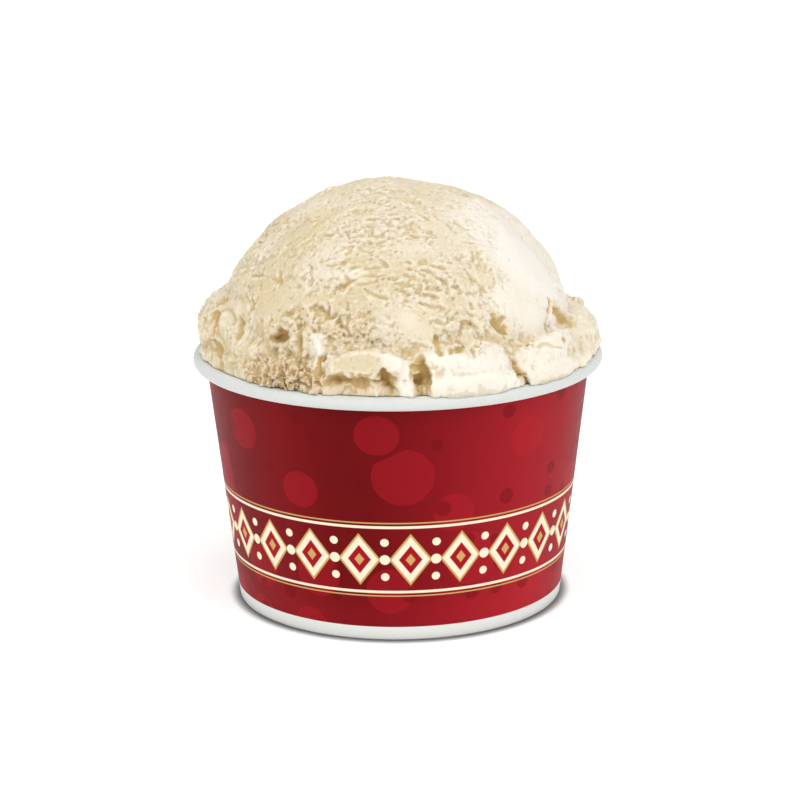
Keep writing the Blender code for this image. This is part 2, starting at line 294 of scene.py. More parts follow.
def sides_of(line, thickness):
    """The left and the right face of a sheet whose middle follows the line, mitred at its corners."""
    runs = [(Vector(b) - Vector(a)).normalized() for a, b in zip(line, line[1:])]
    left, right = [], []
    for i, point in enumerate(line):
        before, after = runs[max(i - 1, 0)], runs[min(i, len(runs) - 1)]
        along = (before + after).normalized()
        reach = thickness / 2 / along.dot(after)
        left.append(moved(point, (-along.y, along.x), reach))
        right.append(moved(point, (-along.y, along.x), -reach))
    return left, right


def curl_radius(angle):
    """Radius of the rim's roll at the middle of the paper, at this angle from the wall over the top."""
    return CURL_START + (CURL_END - CURL_START) * (angle - WALL_LEAN) / CURL_TURN


CURL_CENTRE = (
    RIM_RADIUS - curl_radius(math.pi) - PAPER / 2,
    CUP_HEIGHT - curl_radius(math.pi / 2) - PAPER / 2,
)
ROLL_RADIUS = CURL_START + PAPER / 2  # the roll's outside, where it leaves the wall


def curl_point(angle):
    return moved(CURL_CENTRE, (-math.cos(angle), math.sin(angle)), curl_radius(angle))


def wall_radius(z, inward=0.0):
    """Radius at height z of the surface that lies this far inside the middle of the wall's paper."""
    top = curl_point(WALL_LEAN)
    return top[0] + (z - top[1]) * math.tan(WALL_LEAN) - inward / math.cos(WALL_LEAN)


def wall_line():
    """Middle of the wall's paper: up the wall from the folded flap, then round the rim's roll."""
    channel = PAPER + 2 * GAP + DISC_PAPER
    floor = PAPER / 2
    corners = [
        (wall_radius(FLAP_HEIGHT, channel), FLAP_HEIGHT),
        (wall_radius(floor, channel), floor),
        (wall_radius(floor), floor),
        curl_point(WALL_LEAN),
    ]
    line = filleted(corners, FOOT_FOLD, FOLD_STEPS)
    for step in range(1, CURL_STEPS + 1):
        line.append(curl_point(WALL_LEAN + CURL_TURN * step / CURL_STEPS))
    return line


def disc_line():
    """Middle of the bottom disc's paper, from its centre out and down its flange."""
    inward = PAPER / 2 + GAP + DISC_PAPER / 2
    foot = PAPER + GAP
    edge = (wall_radius(DISC_HEIGHT, inward), DISC_HEIGHT)
    corners = [(0.0, DISC_HEIGHT), edge, (wall_radius(foot, inward), foot)]
    line = filleted(corners, DISC_FOLD, FOLD_STEPS)
    return [line[0], *((edge[0] * share, DISC_HEIGHT) for share in DISC_RINGS), *line[1:]]


def seam_corners():
    """Corners of the side seam's section: (distance round the wall, rise of the outer layer)."""
    full = LAP_RAMP + LAP_WIDTH
    return (0.0, 0.0), (LAP_RAMP, LAP_RISE), (full, LAP_RISE), (full + LAP_EDGE, 0.0)


def cup_angles():
    """Even steps round the cup, with those at the seam replaced by its corners: (angle, rise)."""
    radius = wall_radius(CUP_HEIGHT / 2)
    seam = [(SEAM_ANGLE + arc / radius, rise) for arc, rise in seam_corners()]
    clear = math.pi / CUP_SEGMENTS
    even = [2 * math.pi * step / CUP_SEGMENTS for step in range(CUP_SEGMENTS)]
    kept = [(a, 0.0) for a in even if a < seam[0][0] - clear or a > seam[-1][0] + clear]
    return sorted(kept + seam)


def at_angle(radius, height, angle):
    return (radius * math.cos(angle), radius * math.sin(angle), height)


def rings_joined(count_along, count_round, closed):
    """Quads between rings of points, numbered along first."""
    faces = []
    for j in range(count_round):
        k = (j + 1) % count_round
        for i in range(count_along if closed else count_along - 1):
            n = (i + 1) % count_along
            corners = (j, i), (k, i), (k, n), (j, n)
            faces.append([turn * count_along + along for turn, along in corners])
    return faces


def new_object(name, mesh, material, sharp=40):
    """The mesh as a piece with this material, shaded smooth up to this angle, riding on the one body."""
    shape = bmesh.new()
    shape.from_mesh(mesh)
    bmesh.ops.recalc_face_normals(shape, faces=shape.faces)
    shape.to_mesh(mesh)
    shape.free()
    mesh.shade_smooth()
    mesh.set_sharp_from_angle(angle=math.radians(sharp))
    mesh.materials.clear()
    mesh.materials.append(material)
    piece = bpy.data.objects.new(name, mesh)
    bpy.context.scene.collection.objects.link(piece)
    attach(piece, "root")
    return piece


def cup_wall(material):
    line = wall_line()
    left, right = sides_of(line, PAPER)
    last_fold = 2 * (FOLD_STEPS + 1)
    angles = cup_angles()
    points = []
    for angle, rise in angles:
        for i, (r, z) in enumerate(right):
            lift = rise if i in (last_fold, last_fold + 1) else 0.0
            points.append(at_angle(r + math.cos(WALL_LEAN) * lift, z - math.sin(WALL_LEAN) * lift, angle))
        points += [at_angle(r, z, angle) for r, z in reversed(left)]
    mesh = bpy.data.meshes.new("paper_wall")
    mesh.from_pydata(points, [], rings_joined(2 * len(line), len(angles), closed=True))
    piece = new_object("paper_wall", mesh, material)
    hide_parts("cup_wall")


def cup_base(material):
    left, right = sides_of(disc_line(), DISC_PAPER)
    outline = [*right[1:], *reversed(left[1:])]
    angles = cup_angles()
    points = [at_angle(r, z, angle) for angle, _ in angles for r, z in outline]
    faces = rings_joined(len(outline), len(angles), closed=False)
    first = len(points)
    points += [(0.0, 0.0, DISC_HEIGHT + side * DISC_PAPER / 2) for side in (-1, 1)]
    for j in range(len(angles)):
        k = (j + 1) % len(angles)
        faces.append((first, k * len(outline), j * len(outline)))
        faces.append((first + 1, (j + 1) * len(outline) - 1, (k + 1) * len(outline) - 1))
    mesh = bpy.data.meshes.new("paper_base")
    mesh.from_pydata(points, [], faces)
    piece = new_object("paper_base", mesh, material)
    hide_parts("cup_base")


# Ice cream geometry


def wander(points, scale, seed):
    """Smooth noise from -1 to 1 at each point, which changes over distances of about the scale."""
    scaled = points / scale + seed * SEED_DIRECTION
    return np.array([noise.noise(p) for p in scaled.tolist()])


def clumps(points, scale, seed, warp):
    """Irregular clumps: how high each stands, from -1 to 1, and how far each point is from a crack."""
    noise.seed_set(CLUMP_WARP_SEED)
    scaled = points / scale + seed * CLUMP_DIRECTION
    heights, apart = np.empty(len(points)), np.empty(len(points))
    for i, p in enumerate(scaled.tolist()):
        bent = Vector(p) + noise.noise_vector(Vector(p) * CLUMP_WARP_FINENESS) * warp
        distances, seeds = noise.voronoi(bent)
        heights[i] = noise.cell(seeds[0] * CLUMP_SHUFFLE)
        apart[i] = distances[1] - distances[0]
    return heights * 2 - 1, apart


def smooth_step(start, end, value):
    """0 at the start, 1 at the end, eased."""
    t = np.clip((value - start) / (end - start), 0.0, 1.0)
    return t * t * (3 - 2 * t)


def coordinates(mesh):
    flat = np.empty(len(mesh.vertices) * 3)
    mesh.vertices.foreach_get("co", flat)
    return flat.reshape(-1, 3)


def normals(mesh):
    flat = np.empty(len(mesh.vertices) * 3, np.float32)
    mesh.vertex_normals.foreach_get("vector", flat)
    return flat.reshape(-1, 3).astype(float)


def place(mesh, points):
    mesh.vertices.foreach_set("co", points.ravel())
    mesh.update()


def evaluated(obj):
    """The object's mesh with its modifiers applied."""
    graph = bpy.context.evaluated_depsgraph_get()
    return bpy.data.meshes.new_from_object(obj.evaluated_get(graph))


def averaged(mesh, values, rounds):
    """The rows of values after each vertex has taken the mean of its neighbours this many times."""
    ends = np.empty(len(mesh.edges) * 2, np.int64)
    mesh.edges.foreach_get("vertices", ends)
    one, other = ends[0::2], ends[1::2]
    here, there = np.concatenate((one, other)), np.concatenate((other, one))
    count = len(mesh.vertices)
    neighbours = np.maximum(np.bincount(here, minlength=count), 1)
    for _ in range(rounds):
        sums = [np.bincount(here, weights=column[there], minlength=count) for column in values.T]
        values = np.column_stack(sums) / neighbours[:, None]
    return values


def opened_below(mesh, height):
    """The closed mesh without what lies below this height, left open there."""
    shape = bmesh.new()
    shape.from_mesh(mesh)
    everything = [*shape.verts, *shape.edges, *shape.faces]
    at, up = Vector((0, 0, height)), Vector((0, 0, 1))
    bmesh.ops.bisect_plane(shape, geom=everything, plane_co=at, plane_no=up, clear_inner=True)
    shape.to_mesh(mesh)
    shape.free()
    return mesh


def closed_below(mesh):
    """Carries the open edge straight down inside the wall to the bottom disc, and closes it there."""
    bottom = DISC_HEIGHT + DISC_PAPER / 2 + GAP
    shape = bmesh.new()
    shape.from_mesh(mesh)
    edge = [e for e in shape.edges if e.is_boundary]
    drawn = bmesh.ops.extrude_edge_only(shape, edges=edge)["geom"]
    for vertex in (g for g in drawn if isinstance(g, bmesh.types.BMVert)):
        angle = math.atan2(vertex.co.y, vertex.co.x)
        vertex.co = at_angle(wall_radius(bottom, PAPER / 2 + GAP), bottom, angle)
    loop = [g for g in drawn if isinstance(g, bmesh.types.BMEdge) and g.is_boundary]
    bmesh.ops.edgeloop_fill(shape, edges=loop)
    shape.to_mesh(mesh)
    shape.free()


def ice_cream_form():
    """The solid's form as an even mesh, its facets smoothed away, open below the rim."""
    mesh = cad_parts["ice_cream"].data.copy()
    shape = bmesh.new()
    shape.from_mesh(mesh)
    bmesh.ops.remove_doubles(shape, verts=shape.verts, dist=WELDED_WITHIN)
    shape.to_mesh(mesh)
    shape.free()
    form = bpy.data.objects.new("form", mesh)
    bpy.context.scene.collection.objects.link(form)
    remesh = form.modifiers.new("even", "REMESH")
    remesh.mode = "VOXEL"
    remesh.voxel_size = FORM_VOXEL
    smooth = form.modifiers.new("rounded", "SMOOTH")
    smooth.factor = 0.5
    smooth.iterations = FORM_SMOOTHING
    even = opened_below(evaluated(form), HIDDEN_BELOW)
    form.modifiers.clear()
    form.data = even
    finer = form.modifiers.new("finer", "SUBSURF")
    finer.levels = 1
    finer.render_levels = 1
    finer.boundary_smooth = "PRESERVE_CORNERS"
    fine = evaluated(form)
    bpy.data.objects.remove(form)
    return fine


def clear_of_cup(points):
    """The points moved, where they must be, to lie against the roll of the rim and inside the wall."""
    radius = np.hypot(points[:, 0], points[:, 1])
    out, up = radius - CURL_CENTRE[0], points[:, 2] - CURL_CENTRE[1]
    over = up > 0
    away = np.hypot(out, up)
    near = smooth_step(ROLL_RADIUS + PRESSED_WITHIN[0], ROLL_RADIUS + PRESSED_WITHIN[1], away)
    wanted = np.maximum(away - near * PRESSED_BY, ROLL_RADIUS + RIM_TOUCH)
    grow = np.where(over, wanted / away, 1.0)
    inside = wall_radius(points[:, 2], PAPER / 2 + RIM_TOUCH)
    new_radius = np.where(over, CURL_CENTRE[0] + out * grow, np.minimum(radius, inside))
    new_radius = np.minimum(new_radius, RIM_RADIUS - GAP)
    scale = new_radius / np.maximum(radius, TINY)
    height = np.where(over, CURL_CENTRE[1] + up * grow, points[:, 2])
    return np.column_stack((points[:, 0] * scale, points[:, 1] * scale, np.minimum(height, TOP)))


def turned_from_front(points):
    """Angle of each point round the cup in degrees from the front, positive to the right."""
    return np.degrees(np.arctan2(points[:, 0], -points[:, 1]))


def surface_point(points, angle, height):
    """The outermost point of the surface at this angle in degrees and this height in millimetres."""
    radius = np.hypot(points[:, 0], points[:, 1])
    turn = (turned_from_front(points) - angle + 180) % 360 - 180
    off = np.hypot(np.radians(turn) * radius, points[:, 2] - height * MM)
    near = np.where(off < max(off.min() * NEAREST_MARGIN, CLOSE_BY), radius, 0.0)
    return points[np.argmax(near)]


def surface_route(points, a0, z0, a1, z1):
    """Points along the surface from one angle and height to another."""
    shares = np.linspace(0.0, 1.0, ROUTE_STEPS + 1)
    return [surface_point(points, a0 + (a1 - a0) * share, z0 + (z1 - z0) * share) for share in shares]


def near_route(points, route, taper):
    """Distance of each point from the line through the route, more so towards its ends."""
    nearest = np.full(len(points), np.inf)
    for i, (start, end) in enumerate(zip(route, route[1:])):
        along = end - start
        share = np.clip((points - start) @ along / max(along @ along, TINY), 0.0, 1.0)
        thin = 1 - taper * (2 * (i + share) / ROUTE_STEPS - 1) ** 2
        off = np.linalg.norm(points - start - share[:, None] * along, axis=1) / thin
        nearest = np.minimum(nearest, off)
    return nearest


# Crevices and pockets that show at the front: angle and height of each end, half its width and its depth.
# Angles are in degrees from the front, positive to the right, and lengths in millimetres.
HOLLOWS = (
    (5.8, 68.0, 6.6, 56.8, 2.00, 2.1),
    (5.2, 63.6, 5.8, 56.8, 1.60, 3.4),
    (34.4, 67.6, 38.8, 57.5, 0.95, 2.6),
    (38.5, 68.2, 52.0, 67.0, 0.60, 0.5),
    (11.8, 71.4, 12.2, 68.8, 0.90, 1.2),
    (14.4, 69.8, 18.8, 69.2, 1.10, 1.6),
    (33.4, 74.6, 36.6, 71.0, 1.40, 1.6),
    (62.0, 75.8, 54.0, 67.4, 0.80, 1.7),
    (63.5, 72.9, 72.0, 68.6, 1.70, 1.3),
    (55.5, 70.2, 64.5, 67.6, 0.90, 0.9),
    (-43.0, 69.6, -37.0, 70.4, 1.80, 2.5),
    (-39.0, 75.2, -33.6, 76.6, 0.90, 0.9),
    (-32.4, 74.6, -31.0, 67.8, 0.90, 1.1),
    (-22.6, 67.2, -21.4, 60.4, 1.30, 2.0),
    (-17.5, 61.6, -5.0, 61.2, 3.80, 2.0),
    (-16.0, 58.6, -6.0, 58.4, 2.20, 1.2),
    (-4.0, 64.6, -1.4, 56.8, 2.10, 2.6),
    (-79.0, 75.4, -75.0, 72.8, 1.10, 1.0),
    (-73.5, 71.4, -69.5, 67.8, 1.40, 1.6),
    (-60.8, 72.2, -57.0, 66.6, 1.40, 1.3),
    (-70.0, 64.6, -64.0, 61.8, 1.20, 1.3),
    (-56.8, 77.4, -55.4, 71.0, 0.80, 1.5),
    (9.0, 66.6, 10.8, 62.8, 1.40, 0.7),
)
# What stands out, in the same way.
RIDGES = (
    (-25.6, 70.4, -22.8, 65.4, 1.4, 1.3),
    (-34.8, 73.2, -34.0, 67.8, 0.9, 0.8),
    (-40.4, 73.6, -34.6, 73.8, 0.9, 0.8),
    (-20.5, 66.0, -1.0, 66.8, 3.6, 1.3),
    (-2.4, 68.2, 2.8, 65.4, 1.8, 0.9),
    (-40.0, 64.8, -29.0, 65.2, 4.6, 0.9),
    (9.5, 60.6, 31.5, 60.8, 2.1, 1.0),
    (41.0, 60.8, 64.0, 61.2, 2.1, 0.8),
    (2.8, 66.4, 3.2, 59.4, 1.5, 1.0),
    (-7.8, 62.6, -5.6, 60.0, 0.9, 0.9),
)
# Short tears in the dome where the scoop dragged, in the same way.
TEARS = (
    (-41.0, 91.0, -27.0, 91.5, 0.60, 0.70),
    (-27.5, 86.4, -21.4, 86.4, 0.75, 0.60),
    (-19.0, 86.1, -12.5, 86.3, 0.60, 0.60),
    (-6.5, 86.8, -1.0, 86.2, 0.65, 0.60),
    (-22.5, 81.6, -16.6, 83.0, 0.90, 1.00),
    (-12.0, 81.2, -1.5, 79.3, 0.60, 0.60),
    (-50.0, 80.9, -45.5, 81.9, 0.85, 0.70),
    (13.6, 86.2, 20.0, 85.3, 0.75, 0.90),
    (44.6, 89.7, 48.2, 88.0, 0.60, 0.50),
    (35.0, 93.4, 41.2, 91.6, 0.90, 0.60),
    (8.0, 79.4, 12.8, 75.8, 0.60, 0.70),
    (11.4, 77.7, 18.6, 76.8, 0.55, 0.60),
    (18.0, 76.0, 26.0, 72.6, 0.65, 0.80),
    (15.0, 84.0, 23.4, 80.2, 0.60, 0.70),
    (24.0, 79.2, 29.4, 74.8, 0.60, 0.70),
    (26.0, 84.4, 32.0, 80.6, 0.50, 0.50),
    (-33.0, 95.8, -20.0, 96.4, 0.55, 0.45),
    (1.0, 93.3, 13.0, 93.5, 0.65, 0.60),
    (-14.0, 90.6, -4.0, 90.4, 0.55, 0.50),
    (-29.0, 77.7, -22.0, 77.0, 0.70, 0.70),
    (-20.0, 76.0, -16.0, 73.0, 0.60, 0.70),
    (-36.0, 86.0, -33.0, 83.0, 0.50, 0.50),
)
# Patches of the surface: angle and height of each end, half the width, and there how coarse the grain is,
# how white the cream is (below 0: ochre, mostly painted shade) and how much it is folded.
PATCHES = (
    (-20.0, 93.0, 4.0, 95.0, 6.5, 1.30, 0.30, 0.1),
    (-16.0, 84.0, 8.0, 84.0, 5.5, 1.00, 0.00, 0.1),
    (-27.0, 74.5, -14.0, 74.0, 4.5, 1.30, -0.25, 0.2),
    (12.0, 84.0, 23.0, 76.0, 5.5, 1.00, 0.10, 0.1),
    (-50.0, 80.0, -52.0, 90.0, 7.5, 0.60, 0.00, 0.1),
    (-33.0, 83.8, -14.0, 84.8, 1.15, 0.40, 0.45, 0.0),
    (3.0, 75.6, 10.0, 71.8, 2.4, 0.35, 0.45, 0.1),
    (36.0, 92.0, 36.0, 79.0, 9.0, 0.80, 0.35, 0.0),
    (82.0, 90.0, 84.0, 76.0, 11.0, 0.30, 0.70, 0.1),
    (60.0, 90.0, 62.0, 76.0, 13.0, 0.45, 0.85, 0.0),
    (60.0, 86.0, 62.0, 78.0, 7.0, 0.15, 1.00, 0.0),
    (42.0, 78.0, 50.0, 73.0, 6.0, 0.30, 0.80, 0.1),
    (-42.0, 64.0, -28.0, 64.4, 5.0, 2.5, -0.90, 0.3),
    (-25.6, 70.4, -22.8, 66.0, 2.0, 0.45, 1.00, 0.3),
    (-16.5, 61.6, -5.0, 61.2, 3.4, 0.55, -0.70, 0.1),
    (-19.0, 67.0, -2.0, 67.8, 3.4, 0.40, 0.10, 0.0),
    (-4.0, 64.0, -1.6, 57.0, 1.6, 0.50, -0.85, 0.0),
    (-2.0, 68.8, 2.8, 66.0, 2.0, 0.12, 0.80, 0.0),
    (2.8, 66.8, 3.2, 59.4, 1.8, 0.12, 0.95, 0.0),
    (-7.8, 62.6, -5.6, 60.0, 1.2, 0.50, 0.10, 0.0),
    (11.0, 66.0, 30.0, 65.4, 5.5, 0.38, 0.85, 0.30),
    (44.0, 64.8, 62.0, 65.0, 6.0, 0.35, 0.75, 0.30),
    (66.0, 65.0, 82.0, 66.0, 6.0, 0.35, 0.50, 0.60),
    (-72.0, 72.0, -62.0, 75.0, 4.5, 0.30, 0.20, 0.9),
    (-62.0, 64.0, -52.0, 63.5, 3.5, 0.90, 0.00, 0.9),
    (-47.0, 70.0, -36.0, 71.0, 3.5, 0.70, -0.15, 0.9),
    (-43.5, 69.2, -37.4, 70.2, 2.0, 0.60, -0.55, 0.6),
    (-39.0, 75.2, -33.6, 76.6, 1.0, 0.70, -0.40, 0.2),
    (-78.5, 75.0, -75.6, 73.2, 2.0, 0.50, -0.55, 0.6),
    (-73.0, 71.0, -70.0, 68.4, 1.8, 0.50, -0.80, 0.6),
    (-59.6, 71.0, -57.6, 67.2, 1.8, 0.60, -0.35, 0.6),
    (-69.0, 64.2, -65.0, 62.4, 1.6, 0.60, -0.70, 0.6),
    (-22.6, 66.6, -21.4, 60.4, 1.2, 0.60, -1.00, 0.1),
    (5.8, 67.0, 6.2, 57.5, 1.7, 0.60, -0.75, 0.0),
    (11.8, 71.2, 12.2, 68.9, 0.8, 0.50, -0.70, 0.1),
    (14.4, 69.8, 18.4, 69.2, 1.0, 0.50, -0.60, 0.1),
    (33.8, 74.4, 36.6, 71.2, 1.1, 0.40, -0.60, 0.0),
    (34.4, 67.2, 38.4, 58.5, 0.8, 0.50, -0.60, 0.0),
    (64.0, 72.6, 71.5, 68.6, 2.1, 0.40, -0.55, 0.2),
    (61.0, 75.0, 54.0, 67.4, 0.8, 0.30, -0.50, 0.0),
)


def sunk(points, lines, edge, taper, rough):
    """How deep these lines sink each point. The edge is the share of their half width that slopes."""
    bent = points.copy()
    for scale, reach in LINE_BENDS:
        bent += reach * np.column_stack([wander(points, scale, seed) for seed in LINE_SEEDS])
    ragged = 0.7 * wander(points, *RAGGED) + 0.45 * wander(points, *FINER_RAGGED)
    depth = np.zeros(len(points))
    for a0, z0, a1, z1, half, deep in lines:
        off = near_route(bent, surface_route(points, a0, z0, a1, z1), taper) / (half * MM)
        shape = smooth_step(LINE_REACH, LINE_REACH - edge, off * (1 + ragged * rough))
        depth = np.maximum(depth, deep * MM * shape)
    return depth


def scattered_tears():
    """Tears all round the rest of the dome, each along the way that the scoop went."""
    draw = random.Random(TEAR_SEED)
    tears = []
    for _ in range(BACK_TEARS):
        angle, height = draw.uniform(*TEAR_ANGLES), draw.uniform(*TEAR_HEIGHTS)
        length, slope = draw.uniform(*TEAR_LENGTHS), draw.uniform(*TEAR_SLOPES)
        half, deep = draw.uniform(*TEAR_HALVES), draw.uniform(*TEAR_DEPTHS)
        tears.append((angle, height, angle + length, height + slope * length, half, deep))
    return tears


def scattered_cracks():
    """Cracks between the lumps round the back, and pockets above them."""
    draw = random.Random(CRACK_SEED)
    cracks = []
    for step in range(BACK_LUMPS):
        share = (step + draw.uniform(*CRACK_SHARES)) / BACK_LUMPS
        angle = CRACK_ANGLES[0] + (CRACK_ANGLES[1] - CRACK_ANGLES[0]) * share
        lean, half, deep = (draw.uniform(*span) for span in (CRACK_LEANS, CRACK_HALVES, CRACK_DEPTHS))
        cracks.append((angle, draw.uniform(*CRACK_TOPS), angle + lean, CRACK_BOTTOM, half, deep))
        angle += draw.uniform(*POCKET_SHIFTS)
        start = (angle, draw.uniform(*POCKET_STARTS))
        end = (angle + draw.uniform(*POCKET_LENGTHS), draw.uniform(*POCKET_ENDS))
        cracks.append((*start, *end, half, deep * POCKET_DEPTH))
    return cracks


def character(points):
    """How coarse the grain is at each point, how white the cream (below 0: ochre, mostly painted shade) and
    how much it is folded.
    """
    areas = wander(points, *AREAS) + 0.5 * wander(points, *FINER_AREAS)
    values = np.column_stack((
        0.72 + 0.45 * areas,
        np.clip(0.25 + 0.5 * wander(points, *WHITER), 0.0, 1.0),
        COLLAR_FOLDS * smooth_step(*COLLAR_FADE, points[:, 2]),
    ))
    for a0, z0, a1, z1, half, *wanted in PATCHES:
        off = near_route(points, surface_route(points, a0, z0, a1, z1), 0.0) / (half * MM)
        share = smooth_step(1.4, 0.45, off + 0.35 * areas)[:, None]
        values = values * (1 - share) + np.array(wanted) * share
    return np.clip(values[:, 0], 0.08, 3.2), values[:, 1], values[:, 2]


def edge_shifted(points):
    """The points near the rim's roll turned about it, more so at the front and unevenly, over the rim."""
    radius = np.hypot(points[:, 0], points[:, 1])
    out, up = radius - CURL_CENTRE[0], points[:, 2] - CURL_CENTRE[1]
    close = smooth_step(ROLL_RADIUS + SHIFTED_WITHIN[0], ROLL_RADIUS + SHIFTED_WITHIN[1], np.hypot(out, up))
    pressed = 24 + 16 * smooth_step(75, 40, np.abs(turned_from_front(points)))
    shift = pressed + 24 * wander(points, *CONTACT) + 7 * wander(points, *FINER_CONTACT)
    turn = np.radians(shift) * close * smooth_step(-0.5 * MM, 0.5 * MM, up)
    cos, sin = np.cos(turn), np.sin(turn)
    out, up = out * cos + up * sin, up * cos - out * sin
    scale = (CURL_CENTRE[0] + out) / np.maximum(radius, TINY)
    return np.column_stack((points[:, 0] * scale, points[:, 1] * scale, CURL_CENTRE[1] + up))


def lumped(mesh, folded):
    """Gives the form its hollows, ridges and folds: how deep each point is sunk, and the folds' creases."""
    start = coordinates(mesh)
    above = smooth_step(CUP_HEIGHT - 0.8 * MM, CUP_HEIGHT + 0.8 * MM, start[:, 2])
    depth = sunk(start, [*HOLLOWS, *scattered_cracks()], *HOLLOW_EDGE)
    raised = sunk(start, RIDGES, *RIDGE_EDGE)
    creases = np.abs(wander(start, *CREASES)) + 0.3 * np.abs(wander(start, *FINER_CREASES))
    folds = folded * (FOLD_HEIGHT * creases - FOLD_SINK) * MM
    points = start - normals(mesh) * (above * (depth - raised - folds))[:, None]
    place(mesh, clear_of_cup(edge_shifted(points)))
    return depth, creases


def dragged(points):
    """The points in the scoop's terms: across its circles, along them, and into the dome."""
    centred = points - np.array(DOME_CENTRE)
    ring = np.hypot(centred[:, 0], centred[:, 2])
    turn = np.arctan2(centred[:, 0], centred[:, 2])
    drag = np.column_stack((ring / DRAG_ACROSS, turn / DRAG_ALONG, points[:, 1] / DRAG_INWARD))
    bends = np.column_stack([wander(points, DRAG_BEND_SCALE, seed) for seed in DRAG_SEEDS])
    return drag + DRAG_BEND * bends


def relief(points, coarse):
    """Height in millimetres of the grain, clumps, pits and cuts at each point."""
    drag = dragged(points)
    height = LUMP_HEIGHT * wander(points, *LUMPS) * (0.4 + 0.6 * np.minimum(coarse, 1.0))
    height += coarse * (DENT_HEIGHT * wander(points, *DENTS) + GRAIN_HEIGHT * wander(points, *GRAIN))
    height += coarse * (FINE_HEIGHT * wander(points, *FINE_GRAIN) + STREAK_HEIGHT * wander(drag, *STREAKS))

    crumbled = smooth_step(-0.35, 0.35, wander(points, *CRUMBLED) + 0.5 * (coarse - 0.8))
    clumped = 0.35 * coarse * crumbled + 0.9 * np.maximum(coarse - 1.2, 0.0)
    for kind, up, down, crack in CLUMPS:
        high, apart = clumps(points, *kind)
        height += clumped * (up * high - down * smooth_step(crack, 0.0, apart))

    rips = 0.8 * wander(drag * RIP_FINENESS, *RIPS) + 0.5 * wander(points, *RIP_GRAIN)
    rips += 0.55 * wander(points, *RIP_AREAS) + 0.10 * np.minimum(coarse - 0.8, 0.6)
    height -= PIT_DEPTH * np.minimum(coarse, 1.5) * smooth_step(0.14, 0.44, rips)
    cuts = np.abs(wander(drag * CUT_FINENESS, *CUTS))
    cut_here = smooth_step(0.12, 0.5, wander(points, *CUT_AREAS) + 0.12)
    height -= CUT_DEPTH * coarse * cut_here * smooth_step(0.12, 0.02, cuts)
    return height


def ice_cream(material):
    mesh = ice_cream_form()
    coarse, white, folded = character(coordinates(mesh))
    depth, creases = lumped(mesh, folded)

    points, outward = coordinates(mesh), normals(mesh)
    torn = sunk(points, [*TEARS, *scattered_tears()], *TEAR_EDGE)
    fade = smooth_step(CUP_HEIGHT - 1.0 * MM, CUP_HEIGHT + 0.3 * MM, points[:, 2])
    rise = fade * (relief(points, coarse) * MM - torn)
    place(mesh, clear_of_cup(points + outward * rise[:, None]))

    final, outward = coordinates(mesh), normals(mesh)
    near = averaged(mesh, final, 4)
    far = averaged(mesh, near, 36)
    # How far each point lies below its close neighbours, for painted shade in the pits and a painted
    # highlight on raised grain
    painted_grain_shading = np.einsum("ij,ij->i", near - final, outward) / (0.10 * MM)
    wide = np.einsum("ij,ij->i", far - final, outward) / (0.8 * MM)
    # Painted shade: how far down each point lies in carved hollows, tears, wide hollows and the folds'
    # creases
    painted_hollow_shade = depth / (2.6 * MM) + 0.5 * np.clip(torn / MM, 0, 1) + 0.35 * np.clip(wide, -1, 1)
    painted_hollow_shade += 0.5 * np.clip(folded, 0, 1) * smooth_step(0.32, 0.05, creases)
    shades = {"painted_hollow_shade": np.clip(painted_hollow_shade, -0.6, 2.0), "coarse": coarse, "white": white, "painted_grain_shading": painted_grain_shading}
    for name, values in shades.items():
        mesh.attributes.new(name, "FLOAT", "POINT").data.foreach_set("value", values.astype(np.float32))
    closed_below(mesh)
    piece = new_object("scoop", mesh, material, sharp=180)
    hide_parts("ice_cream")


# Materials


def node(tree, kind, inputs=None, **settings):
    """A new node with these settings; an input's value is a socket to link from, or a plain value."""
    made = tree.nodes.new(kind)
    for key, value in settings.items():
        setattr(made, key, value)
    for key, value in (inputs or {}).items():
        if isinstance(value, bpy.types.NodeSocket):
            tree.links.new(value, made.inputs[key])
        else:
            made.inputs[key].default_value = value
    return made


def calc(tree, operation, *values):
    return node(tree, "ShaderNodeMath", dict(enumerate(values)), operation=operation).outputs[0]


def between(tree, value, start, end):
    """0 at the start, 1 at the end, eased."""
    inputs = {"Value": value, "From Min": start, "From Max": end}
    return node(tree, "ShaderNodeMapRange", inputs, interpolation_type="SMOOTHSTEP").outputs[0]


def product(tree, first, *others):
    result = first
    for other in others:
        result = calc(tree, "MULTIPLY", result, other)
    return result


def noise_at(tree, position, scale, detail):
    """Smooth noise from 0 to 1 at the position."""
    inputs = {"Vector": position, "Scale": scale, "Detail": detail}
    return node(tree, "ShaderNodeTexNoise", inputs).outputs[0]


def ranged(tree, value, start, end):
    """The start where the value is 0, and the end where it is 1."""
    inputs = {"Value": value, "To Min": start, "To Max": end}
    return node(tree, "ShaderNodeMapRange", inputs).outputs[0]


def distance(tree, across, up):
    squares = calc(tree, "ADD", calc(tree, "POWER", across, 2.0), calc(tree, "POWER", up, 2.0))
    return calc(tree, "SQRT", squares)


def mixed(tree, share, first, second):
    """The first colour where the share is 0, the second where it is 1."""
    made = node(tree, "ShaderNodeMix", data_type="RGBA")
    for index, value in ((0, share), (6, first), (7, second)):
        if isinstance(value, bpy.types.NodeSocket):
            tree.links.new(value, made.inputs[index])
        else:
            made.inputs[index].default_value = value
    return made.outputs[2]


def colour(red, green, blue):
    """A colour given in the 0 to 255 values of a screen."""
    linear = [((c / 255 + 0.055) / 1.055) ** 2.4 if c > 10 else c / 255 / 12.92 for c in (red, green, blue)]
    return (*linear, 1.0)


def new_material(name):
    material = bpy.data.materials.new(name)
    material.use_nodes = True
    return material, material.node_tree, material.node_tree.nodes["Principled BSDF"]


